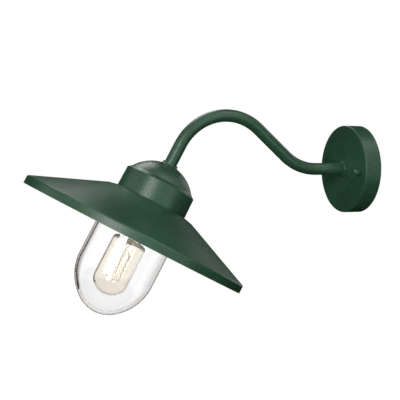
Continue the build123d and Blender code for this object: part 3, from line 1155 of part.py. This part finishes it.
with BuildPart() as earth_screws:
    rose_head_out = BRACKET_THICKNESS + EARTH_RING_THICKNESS
    head_head_height = PLATE_TOP + EARTH_RING_THICKNESS
    rose_earth_place = [(0, ROSE_EARTH_HEIGHT)]
    head_earth_place = [(-HEAD_EARTH_PLACE, 0)]
    pillar(WALL, rose_earth_place, SCREW_DIAMETER / 2, rose_head_out)
    pillar(WALL.offset(rose_head_out), rose_earth_place, SCREW_HEAD_DIAMETER / 2, SCREW_HEAD_HEIGHT)
    pillar(HEAD.offset(head_head_height - EARTH_SCREW_LENGTH), head_earth_place,
           SCREW_DIAMETER / 2, EARTH_SCREW_LENGTH)
    pillar(HEAD.offset(head_head_height), head_earth_place, SCREW_HEAD_DIAMETER / 2,
           SCREW_HEAD_HEIGHT)
earth_screws.part.label = "earth_screws"
export_step(earth_screws.part, "parts/earth_screws.step")

with BuildPart() as earth_cores:
    rose_barrel_foot = rose_barrel_top - EARTH_BARREL_LENGTH
    wire([wall_point(0, CORE_OFFSET, ROSE_CABLE_END),
          wall_point(0, CORE_OFFSET, rose_barrel_out + EARTH_CORE_KNEE_OUT),
          wall_point(0, CORE_OFFSET + EARTH_CORE_KNEE_UP, rose_barrel_out),
          wall_point(0, rose_barrel_foot, rose_barrel_out)], core_radius, ROSE_CORE_BEND)
    wire([head_point(-CORE_OFFSET, 0, HEAD_CABLE_END),
          head_point(-CORE_OFFSET, 0, HEAD_CABLE_END - FAN_START),
          head_point(head_barrel_x, 0, head_barrel_top + HEAD_CORE_BEND),
          head_point(head_barrel_x, 0, head_barrel_top)], core_radius, HEAD_CORE_BEND)
earth_cores.part.label = "earth_cores"
export_step(earth_cores.part, "parts/earth_cores.step")
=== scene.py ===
# %% [markdown]
# # A gooseneck wall light, dressed around its CAD frame
#
# The light is a green powder-coated arm and shade over a clear glass jar, with a tubular
# filament bulb inside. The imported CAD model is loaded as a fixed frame: every piece of it keeps
# its place, size and mesh. The pieces could be modelled again here, but they are round and plain,
# and the frame's own meshes are already smooth, so this file only gives each one its finish and
# sets up the studio.

# %% Load the frame
import json
from math import cos, radians, sin

import bpy
from mathutils import Matrix, Vector


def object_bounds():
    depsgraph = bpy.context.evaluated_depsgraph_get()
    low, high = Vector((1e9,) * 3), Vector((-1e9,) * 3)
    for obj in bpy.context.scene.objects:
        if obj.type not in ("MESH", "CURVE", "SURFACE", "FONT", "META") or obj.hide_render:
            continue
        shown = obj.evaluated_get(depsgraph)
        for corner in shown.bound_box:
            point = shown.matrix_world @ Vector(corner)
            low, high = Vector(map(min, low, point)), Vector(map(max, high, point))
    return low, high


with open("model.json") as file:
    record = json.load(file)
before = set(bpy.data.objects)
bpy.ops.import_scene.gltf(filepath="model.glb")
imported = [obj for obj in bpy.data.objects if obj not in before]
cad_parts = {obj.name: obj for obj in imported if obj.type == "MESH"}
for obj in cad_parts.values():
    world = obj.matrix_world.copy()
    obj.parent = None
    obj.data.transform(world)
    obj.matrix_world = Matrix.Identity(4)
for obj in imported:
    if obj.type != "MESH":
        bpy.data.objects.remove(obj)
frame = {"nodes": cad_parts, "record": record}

cad_low, cad_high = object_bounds()
nodes = frame["nodes"]
MM = 0.001
print("frame", len(nodes), "nodes, from", [round(v, 3) for v in cad_low],
      "to", [round(v, 3) for v in cad_high])

# %% [markdown]
# ## A few small helpers for materials
#
# Colours are picked as sRGB hex values, as a paint chart gives them, and shaders want linear
# light, so one function does that sum. Another adds a node with its settings and links, so a
# material reads as a list of what it is made of. Patterns are thought of in millimetres, and the
# last one turns that size into the scale that a noise wants.

# %% Colour and node helpers
def linear(hex_colour):
    """An sRGB hex colour as linear red, green, blue and alpha."""
    channels = [int(hex_colour[i:i + 2], 16) / 255 for i in (1, 3, 5)]
    curve = [c / 12.92 if c <= 0.04045 else ((c + 0.055) / 1.055) ** 2.4 for c in channels]
    return (*curve, 1.0)


def add_node(tree, kind, inputs=None, **settings):
    """Adds one shader node; a socket given as an input is linked, and a value is set."""
    node = tree.nodes.new(kind)
    for name, value in settings.items():
        setattr(node, name, value)
    for key, value in (inputs or {}).items():
        if isinstance(value, bpy.types.NodeSocket):
            tree.links.new(value, node.inputs[key])
        else:
            node.inputs[key].default_value = value
    return node


def new_material(name):
    """A new node material, with its tree and its shader."""
    material = bpy.data.materials.new(name)
    material.use_nodes = True
    shader = material.node_tree.nodes["Principled BSDF"]
    return material, material.node_tree, shader


def per_metre(millimetres):
    """The noise scale whose lumps are that many millimetres across."""
    return 1 / (millimetres * MM)


print("white", linear("#FFFFFF"), "and 2 mm lumps at scale", round(per_metre(2)))

# %% [markdown]
# ## Powder coat
#
# The rose, arm, cap and shade are sprayed with green polyester powder and baked. The powder melts
# into a thin satin skin with an orange peel: shallow lumps, and a finer grain on top. The real
# lumps are about a millimetre across, which is too fine to show at the photograph's size, so they
# are drawn at 2.2 mm. The photograph also shows a fine mottle in the green, so the colour is
# painted darker in the low parts of the same lumps. This is painted shade, standing in for the
# light that the lumps catch. A slow drift over 60 mm adds a random tone, which keeps large faces
# from looking like plastic.
#
# It is paint, so it isn't a metal to the eye: metallic stays at zero, and the satin gloss comes
# from a roughness near a third. The specular level is a little under the usual half, which keeps
# the highlights green instead of milky. A brushed or cast texture was the other choice, but both
# would show streaks or pits that the real skin hides.

# %% Powder coat
POWDER_GREEN = "#315740"
# The darker green is painted shade in the low parts of the lumps, and the dark end of a random
# drift.
POWDER_SHADE_AND_DRIFT_GREEN = "#22412E"
POWDER_SPECULAR = 0.36
SATIN_ROUGHNESS = (0.29, 0.39)
PEEL_SIZE = 2.2
PEEL_HEIGHT = 0.34
GRAIN_SIZE = 0.35
GRAIN_HEIGHT = 0.02
DRIFT_SIZE = 60
# Two noises add up to about one. This is the part of their sum that runs from dark to light: the
# lump noise's share is painted shade, and the drift's share is random tone.
SHADE_AND_DRIFT_RANGE = (0.75, 1.25)


def powder_coat():
    """Satin green paint: painted shade in the lumps' hollows over a random drift in tone, varied
    gloss and two sizes of lumps.
    """
    material, tree, shader = new_material("powder coat, satin green")
    place = add_node(tree, "ShaderNodeTexCoord").outputs["Object"]
    peel = add_node(tree, "ShaderNodeTexNoise",
                    {"Vector": place, "Scale": per_metre(PEEL_SIZE), "Detail": 2.0})
    grain = add_node(tree, "ShaderNodeTexNoise",
                     {"Vector": place, "Scale": per_metre(GRAIN_SIZE), "Detail": 1.0})
    drift = add_node(tree, "ShaderNodeTexNoise",
                     {"Vector": place, "Scale": per_metre(DRIFT_SIZE), "Detail": 2.0})
    # Painted shade: the colour is darker where the lumps are low, with a slow random drift in tone
    # on top.
    lump_shade_and_drift = add_node(tree, "ShaderNodeMath", {0: drift.outputs["Fac"], 1: peel.outputs["Fac"]},
                      operation="ADD")
    shade_and_drift_factor = add_node(tree, "ShaderNodeMapRange",
                     {"Value": lump_shade_and_drift.outputs[0], "From Min": SHADE_AND_DRIFT_RANGE[0],
                      "From Max": SHADE_AND_DRIFT_RANGE[1]})
    colour = add_node(tree, "ShaderNodeMix",
                      {"Factor": shade_and_drift_factor.outputs["Result"], 6: linear(POWDER_SHADE_AND_DRIFT_GREEN),
                       7: linear(POWDER_GREEN)}, data_type="RGBA")
    roughness = add_node(tree, "ShaderNodeMapRange",
                         {"Value": grain.outputs["Fac"], "To Min": SATIN_ROUGHNESS[0],
                          "To Max": SATIN_ROUGHNESS[1]})
    coarse = add_node(tree, "ShaderNodeBump",
                      {"Height": peel.outputs["Fac"], "Strength": 0.7,
                       "Distance": PEEL_HEIGHT * MM})
    fine = add_node(tree, "ShaderNodeBump",
                    {"Height": grain.outputs["Fac"], "Strength": 0.3,
                     "Distance": GRAIN_HEIGHT * MM, "Normal": coarse.outputs["Normal"]})
    tree.links.new(colour.outputs[2], shader.inputs["Base Color"])
    tree.links.new(roughness.outputs["Result"], shader.inputs["Roughness"])
    tree.links.new(fine.outputs["Normal"], shader.inputs["Normal"])
    shader.inputs["Specular IOR Level"].default_value = POWDER_SPECULAR
    return material


print("powder coat", POWDER_GREEN, "to", POWDER_SHADE_AND_DRIFT_GREEN, "with lumps of", PEEL_SIZE, "mm")

# %% [markdown]
# ## Glass
#
# The jar is blown soda-lime glass, and the bulb a thinner glass of the same kind. Both are solid
# walls with an inside and an outside, so the shader is a clear dielectric with glass's own index
# of refraction, and the walls bend the light by themselves. A single see-through sheet would be
# quicker, but it has no wall to bend the light.
#
# Near the outline the eye looks along the wall, through many times its thickness, so even clear
# glass turns grey or brown there. The shader's colour doesn't know how thick the wall is, so the
# tint goes by the angle instead: it starts where the wall begins to turn away, and is full just
# before the edge. A very faint bump stands for the waviness of blown glass.

# %% Clear glass
GLASS_IOR = 1.5
BLOWN_WAVE_SIZE = 14.0


def clear_glass(name, tint, edge_tint, edge_start, edge_full, wave_height):
    """Clear glass that takes its edge tint between two angles, from 0, face on, to 1, edge on."""
    material, tree, shader = new_material(name)
    place = add_node(tree, "ShaderNodeTexCoord").outputs["Object"]
    wave = add_node(tree, "ShaderNodeTexNoise",
                    {"Vector": place, "Scale": per_metre(BLOWN_WAVE_SIZE), "Detail": 1.0})
    bump = add_node(tree, "ShaderNodeBump",
                    {"Height": wave.outputs["Fac"], "Strength": 0.4,
                     "Distance": wave_height * MM})
    facing = add_node(tree, "ShaderNodeLayerWeight", {"Blend": 0.5}).outputs["Facing"]
    edge = add_node(tree, "ShaderNodeMapRange",
                    {"Value": facing, "From Min": edge_start, "From Max": edge_full})
    colour = add_node(tree, "ShaderNodeMix",
                      {"Factor": edge.outputs["Result"], 6: linear(tint), 7: linear(edge_tint)},
                      data_type="RGBA")
    tree.links.new(colour.outputs[2], shader.inputs["Base Color"])
    tree.links.new(bump.outputs["Normal"], shader.inputs["Normal"])
    shader.inputs["Roughness"].default_value = 0.0
    shader.inputs["IOR"].default_value = GLASS_IOR
    shader.inputs["Transmission Weight"].default_value = 1.0
    return material


print("glass with an index of", GLASS_IOR, "and waves of", BLOWN_WAVE_SIZE, "mm")

# %% [markdown]
# ## Metals inside the light
#
# Screws and brackets of zinc-plated steel, brass contacts and the bulb's nickel cap are bare
# metal, so metallic is one and the colour is the metal's own. Plating and turning leave fine
# marks, which one noise gives twice: as patches of more and less gloss, and as a shallow bump.
# An even gloss would be simpler, but it looks like chrome.

# %% Bare metal
METAL_GLOSS_SPREAD = 0.08


def bare_metal(name, colour, roughness, mark_size, mark_height):
    """Bare metal with fine marks, whose size and height are in millimetres."""
    material, tree, shader = new_material(name)
    place = add_node(tree, "ShaderNodeTexCoord").outputs["Object"]
    marks = add_node(tree, "ShaderNodeTexNoise",
                     {"Vector": place, "Scale": per_metre(mark_size), "Detail": 3.0})
    spread = add_node(tree, "ShaderNodeMapRange",
                      {"Value": marks.outputs["Fac"], "To Min": roughness - METAL_GLOSS_SPREAD,
                       "To Max": roughness + METAL_GLOSS_SPREAD})
    bump = add_node(tree, "ShaderNodeBump",
                    {"Height": marks.outputs["Fac"], "Strength": 0.3,
                     "Distance": mark_height * MM})
    tree.links.new(spread.outputs["Result"], shader.inputs["Roughness"])
    tree.links.new(bump.outputs["Normal"], shader.inputs["Normal"])
    shader.inputs["Base Color"].default_value = linear(colour)
    shader.inputs["Metallic"].default_value = 1.0
    return material


print("bare metal, its roughness spread by", METAL_GLOSS_SPREAD)

# %% [markdown]
# ## Porcelain, rubber and plastics
#
# These are all non-metals that differ in colour, gloss and grain. Glazed porcelain is white and
# glossy, silicone is soft and matt, nylon is milky and satin, and the cable's PVC is nearly
# matt. They could each have a function, but the same few nodes make them all, so one function
# does, and each call names its own material.

# %% Moulded and fired materials
MOULDED_GLOSS_SPREAD = 0.06


def moulded(name, colour, roughness, grain_size, grain_height, sheen=0.0):
    """A non-metal with a fine grain, whose size and height are in millimetres."""
    material, tree, shader = new_material(name)
    place = add_node(tree, "ShaderNodeTexCoord").outputs["Object"]
    grain = add_node(tree, "ShaderNodeTexNoise",
                     {"Vector": place, "Scale": per_metre(grain_size), "Detail": 2.0})
    spread = add_node(tree, "ShaderNodeMapRange",
                      {"Value": grain.outputs["Fac"], "To Min": roughness - MOULDED_GLOSS_SPREAD,
                       "To Max": roughness + MOULDED_GLOSS_SPREAD})
    bump = add_node(tree, "ShaderNodeBump",
                    {"Height": grain.outputs["Fac"], "Strength": 0.3,
                     "Distance": grain_height * MM})
    tree.links.new(spread.outputs["Result"], shader.inputs["Roughness"])
    tree.links.new(bump.outputs["Normal"], shader.inputs["Normal"])
    shader.inputs["Base Color"].default_value = linear(colour)
    shader.inputs["Sheen Weight"].default_value = sheen
    return material


print("moulded and fired materials, their roughness spread by", MOULDED_GLOSS_SPREAD)

# %% [markdown]
# ## Which piece has which finish
#
# The record already says which slot each node takes its finish from, so the finishes are listed
# by slot, and each CAD node gets the one that its slot names. Naming the nodes one by one would
# work too, but a new node would then be left bare.

# %% Finishes of the painted and glass pieces
finishes = {
    "powder_coat": powder_coat(),
    # A thick wall: clear in the middle, and a warm grey towards the outline.
    "jar_glass": clear_glass("blown soda-lime glass", "#FEFEFE", "#A79C94",
                             edge_start=0.55, edge_full=0.85, wave_height=0.10),
    # The bulb is a touch warm all over, with a thin brown outline.
    "bulb_glass": clear_glass("thin bulb glass", "#FCF8F0", "#6B5644",
                              edge_start=0.5, edge_full=0.86, wave_height=0.02),
}
print("painted and glass finishes", len(finishes))

# %% Finishes of the metal pieces
finishes.update({
    # Zinc on rolled steel: a cool light grey that blurs what it mirrors.
    "zinc_plated_steel": bare_metal("zinc-plated steel", "#C9CCD0", roughness=0.34,
                                    mark_size=1.5, mark_height=0.01),
    # Turned brass: warm yellow, a little sharper.
    "brass": bare_metal("turned brass", "#D9B667", roughness=0.30,
                        mark_size=0.8, mark_height=0.01),
    # Nickel over rolled brass: a warm silver, the brightest of the metals.
    "bulb_cap_metal": bare_metal("nickel-plated brass cap", "#C8C3B8", roughness=0.28,
                                 mark_size=1.0, mark_height=0.01),
    # Drawn wire: dull grey-brown, with marks too small to tell apart.
    "filament_wire": bare_metal("drawn tungsten wire", "#8C857A", roughness=0.35,
                                mark_size=0.5, mark_height=0.005),
})
print("with the metals", len(finishes))

# %% Finishes of the fired and moulded pieces
finishes.update({
    # Glazed porcelain: a creamy white with sharp highlights and a slow ripple in the glaze.
    "porcelain": moulded("glazed porcelain", "#ECEAE2", roughness=0.16,
                         grain_size=6.0, grain_height=0.04),
    # The black glass that insulates the bulb's cap: deep and shiny.
    "black_vitrite": moulded("black vitrite glass", "#101010", roughness=0.18,
                             grain_size=2.0, grain_height=0.02),
    # Pressed silicone: matt, with a soft bloom where it turns away.
    "silicone_rubber": moulded("silicone rubber, grey", "#9A9A96", roughness=0.7,
                               grain_size=0.8, grain_height=0.03, sheen=0.1),
    # Injected nylon: a milky white, satin from the mould.
    "white_nylon": moulded("natural nylon", "#E4E2DA", roughness=0.45,
                           grain_size=0.8, grain_height=0.02),
    # Extruded PVC: nearly matt on the sheath, and a little glossier on the cores.
    "cable_sheath": moulded("white PVC sheath", "#DEDDD8", roughness=0.55,
                            grain_size=0.8, grain_height=0.02),
    "brown_core": moulded("brown PVC core", "#5A3A26", roughness=0.45,
                          grain_size=0.8, grain_height=0.01),
    "blue_core": moulded("blue PVC core", "#2E5E9E", roughness=0.45,
                         grain_size=0.8, grain_height=0.01),
    # The real core is striped. It hides in the cap and the rose, so one mean colour stands in.
    "earth_core": moulded("green and yellow PVC core", "#7A9A2E", roughness=0.45,
                          grain_size=0.8, grain_height=0.01),
})
print("with the fired and moulded ones", len(finishes))

# %% Give each node its finish
slot_of = {part["node"]: part["material_slot"] for part in frame["record"]["subparts"]}
for name, node in nodes.items():
    node.data.materials.clear()
    node.data.materials.append(finishes[slot_of[name]])
print("nodes dressed", len(nodes))

# %% [markdown]
# ## The camera
#
# The photograph is taken from the side and a little above, from about 1.2 m. The camera's place,
# turn and focal length could be set by eye, but they come from fitting the rose's outline, the
# tube and the shade's rim, so every edge falls where the photograph has it. The turn is given as
# three angles: round the light from its front, up from level, and the small roll of the frame.

# %% Camera
CAMERA_PLACE = Vector((1.1264, -0.7063, 0.1193))
CAMERA_AZIMUTH = radians(67.10)
CAMERA_ELEVATION = radians(7.43)
CAMERA_ROLL = radians(2.48)
FOCAL_LENGTH = 87.0
SENSOR_WIDTH = 36.0

camera_back = Vector((sin(CAMERA_AZIMUTH) * cos(CAMERA_ELEVATION),
                      -cos(CAMERA_AZIMUTH) * cos(CAMERA_ELEVATION), sin(CAMERA_ELEVATION)))
level_right = (-camera_back).cross(Vector((0, 0, 1))).normalized()
level_up = level_right.cross(-camera_back)
camera_right = level_right * cos(CAMERA_ROLL) + level_up * sin(CAMERA_ROLL)
camera_up = level_up * cos(CAMERA_ROLL) - level_right * sin(CAMERA_ROLL)
camera_data = bpy.data.cameras.new("camera")
camera_data.lens = FOCAL_LENGTH
camera_data.sensor_width = SENSOR_WIDTH
camera_data.sensor_fit = "HORIZONTAL"
camera = bpy.data.objects.new("camera", camera_data)
camera_turn = Matrix((camera_right, camera_up, camera_back)).transposed().to_4x4()
camera.matrix_world = Matrix.Translation(CAMERA_PLACE) @ camera_turn
bpy.context.scene.collection.objects.link(camera)
bpy.context.scene.camera = camera
print("camera at", [round(v, 3) for v in CAMERA_PLACE], "with a lens of", FOCAL_LENGTH, "mm")

# %% [markdown]
# ## Lamps
#
# The photograph is a studio cut-out on pure white. A tall soft box on the camera's left makes the
# pale stripe down the cap, and weaker ones lift the rose's side and the tops of the pieces. One
# big lamp overhead would be simpler, but it leaves no stripe. The lamps are placed as a studio
# plan gives them, on a ball round the middle of the light, and all face that middle.

# %% Places round the light
AIM = Vector((0.0, -0.24, -0.03))


def around(azimuth, elevation, distance):
    """A place on a ball round the light: degrees from +X towards +Y, degrees up, and metres."""
    turn, lift = radians(azimuth), radians(elevation)
    return AIM + distance * Vector((cos(turn) * cos(lift), sin(turn) * cos(lift), sin(lift)))


def aimed(place):
    """The matrix of something that stands at a place and faces the light with its own -Z."""
    return Matrix.Translation(place) @ (AIM - place).to_track_quat("-Z", "Y").to_matrix().to_4x4()


print("aim at", list(AIM))

# %% Lamps
def soft_box(name, place, width, height, watts):
    """A rectangular area lamp that looks at the object."""
    lamp_data = bpy.data.lights.new(name, "AREA")
    lamp_data.shape = "RECTANGLE"
    lamp_data.size = width
    lamp_data.size_y = height
    lamp_data.energy = watts
    lamp = bpy.data.objects.new(name, lamp_data)
    lamp.matrix_world = aimed(place)
    bpy.context.scene.collection.objects.link(lamp)
    return lamp


lamps = [
    # The stripe down the cap, and most of the light on the shade and the jar.
    soft_box("key", around(-42, 15, 1.5), 0.6, 1.0, 17),
    # The lower and the upper half of the rose's side.
    soft_box("front right", around(23, -7, 1.5), 0.4, 0.6, 1.3),
    soft_box("upper right", around(26, 27, 1.5), 0.4, 0.6, 2.2),
    # The top of the tube and of the dome.
    soft_box("top", around(50, 60, 1.5), 0.7, 0.7, 3.6),
    # The sheen on the far left of the shade.
    soft_box("back", around(180, 49, 1.5), 0.8, 0.8, 9),
]
print("lamps", len(lamps), "with", round(sum(lamp.data.energy for lamp in lamps), 1), "watts")

# %% [markdown]
# ## Black flags
#
# Satin paint mirrors the room softly, and in a white room the dark green would turn milky. A
# photographer hangs black cloth round the object, and leaves white only where a highlight should
# run. The same is done here with black cards. The camera doesn't see them, and they cast no
# shadow: only glossy reflections see them. A darker paint was the other way, but then the
# highlights would go dark too.
#
# Clear glass on white would vanish, so one brown-grey card stands behind on the left, and is seen
# only through the glass. The jar's left wall bends it into the dark line of the photograph.

# %% Cloth of the cards
def card_cloth(name, colour):
    """A dead matt cloth for a studio card."""
    material, tree, shader = new_material(name)
    shader.inputs["Base Color"].default_value = linear(colour)
    shader.inputs["Roughness"].default_value = 1.0
    shader.inputs["Specular IOR Level"].default_value = 0.0
    return material


black_cloth = card_cloth("black flag cloth", "#0C0C0C")
brown_felt = card_cloth("brown-grey felt", "#6E6059")
print("card cloths", black_cloth.name, "and", brown_felt.name)

# %% Black flags and the card for the glass
def flag(name, place, width, height, fabric=black_cloth):
    """A card that faces the light, and that only glossy reflections see."""
    bpy.ops.mesh.primitive_plane_add(size=1)
    card = bpy.context.object
    card.name = name
    card.matrix_world = aimed(place) @ Matrix.Diagonal((width, height, 1, 1))
    card.data.materials.append(fabric)
    card.visible_camera = False
    card.visible_diffuse = False
    card.visible_transmission = False
    card.visible_shadow = False
    return card


flags = [
    flag("flag behind", around(182, 0, 2.0), 4.4, 2.6),
    flag("flag over", around(165, 52, 2.0), 4.0, 2.0),
    flag("flag right", around(62, 5, 1.8), 1.5, 1.8),
    flag("flag below", around(0, -89, 0.55), 4.0, 4.0),
]
edge_card = flag("card for the glass edges", around(207, -8, 1.5), 0.75, 0.9, brown_felt)
edge_card.visible_glossy = False
edge_card.visible_transmission = True
print("flags", len(flags), "and one card for the glass")

# %% [markdown]
# ## White background and floor
#
# The background is pure white, yet a white room would flood the paint with light. So the world
# and the floor are white only to rays that come straight from the camera, from a mirror or
# through glass, and to the rays that light the object the world is a weak fill. Turning up the
# lamps until the floor burns out was the other way, but it bleaches the object too. The floor
# lies well below, as under a wall light, and its matt paint still takes the object's shadow.

# %% Rays that see white
def seen_directly(tree):
    """One for camera, mirror and through-glass rays, and nought for the rays that light."""
    path = add_node(tree, "ShaderNodeLightPath")
    some = add_node(tree, "ShaderNodeMath", {0: path.outputs["Is Camera Ray"],
                                             1: path.outputs["Is Transmission Ray"]},
                    operation="MAXIMUM")
    return add_node(tree, "ShaderNodeMath", {0: some.outputs[0], 1: path.outputs["Is Glossy Ray"]},
                    operation="MAXIMUM").outputs[0]


print("white to camera, mirror and through-glass rays")

# %% White world
WORLD_FILL = 0.09
world = bpy.data.worlds.new("studio")
bpy.context.scene.world = world
world.use_nodes = True
tree = world.node_tree
strength = add_node(tree, "ShaderNodeMapRange",
                    {"Value": seen_directly(tree), "To Min": WORLD_FILL, "To Max": 1.0})
background = tree.nodes["Background"]
background.inputs["Color"].default_value = (1, 1, 1, 1)
tree.links.new(strength.outputs["Result"], background.inputs["Strength"])
print("world fill", WORLD_FILL)

# %% Floor
FLOOR_DROP = 1.3
FLOOR_SIZE = 12.0
FLOOR_GREY = "#B8B8B8"
# Just under one, because the lamps' own light on the floor adds the rest.
FLOOR_GLOW = 0.97
bpy.ops.mesh.primitive_plane_add(size=FLOOR_SIZE, location=(0, -0.2, cad_low[2] - FLOOR_DROP))
floor = bpy.context.object
floor.name = "floor"
floor_paint, tree, shader = new_material("floor, pale matt")
shader.inputs["Base Color"].default_value = linear(FLOOR_GREY)
shader.inputs["Roughness"].default_value = 1.0
shader.inputs["Specular IOR Level"].default_value = 0.0
shader.inputs["Emission Color"].default_value = (1, 1, 1, 1)
glow = add_node(tree, "ShaderNodeMapRange",
                {"Value": seen_directly(tree), "To Min": 0.0, "To Max": FLOOR_GLOW})
tree.links.new(glow.outputs["Result"], shader.inputs["Emission Strength"])
floor.data.materials.append(floor_paint)
print("floor", FLOOR_DROP, "m below the light")

# %% [markdown]
# ## The view transform
#
# The look is the plain Standard view, so a colour renders as it was written.

# %% The view transform
bpy.context.scene.view_settings.view_transform = "Standard"
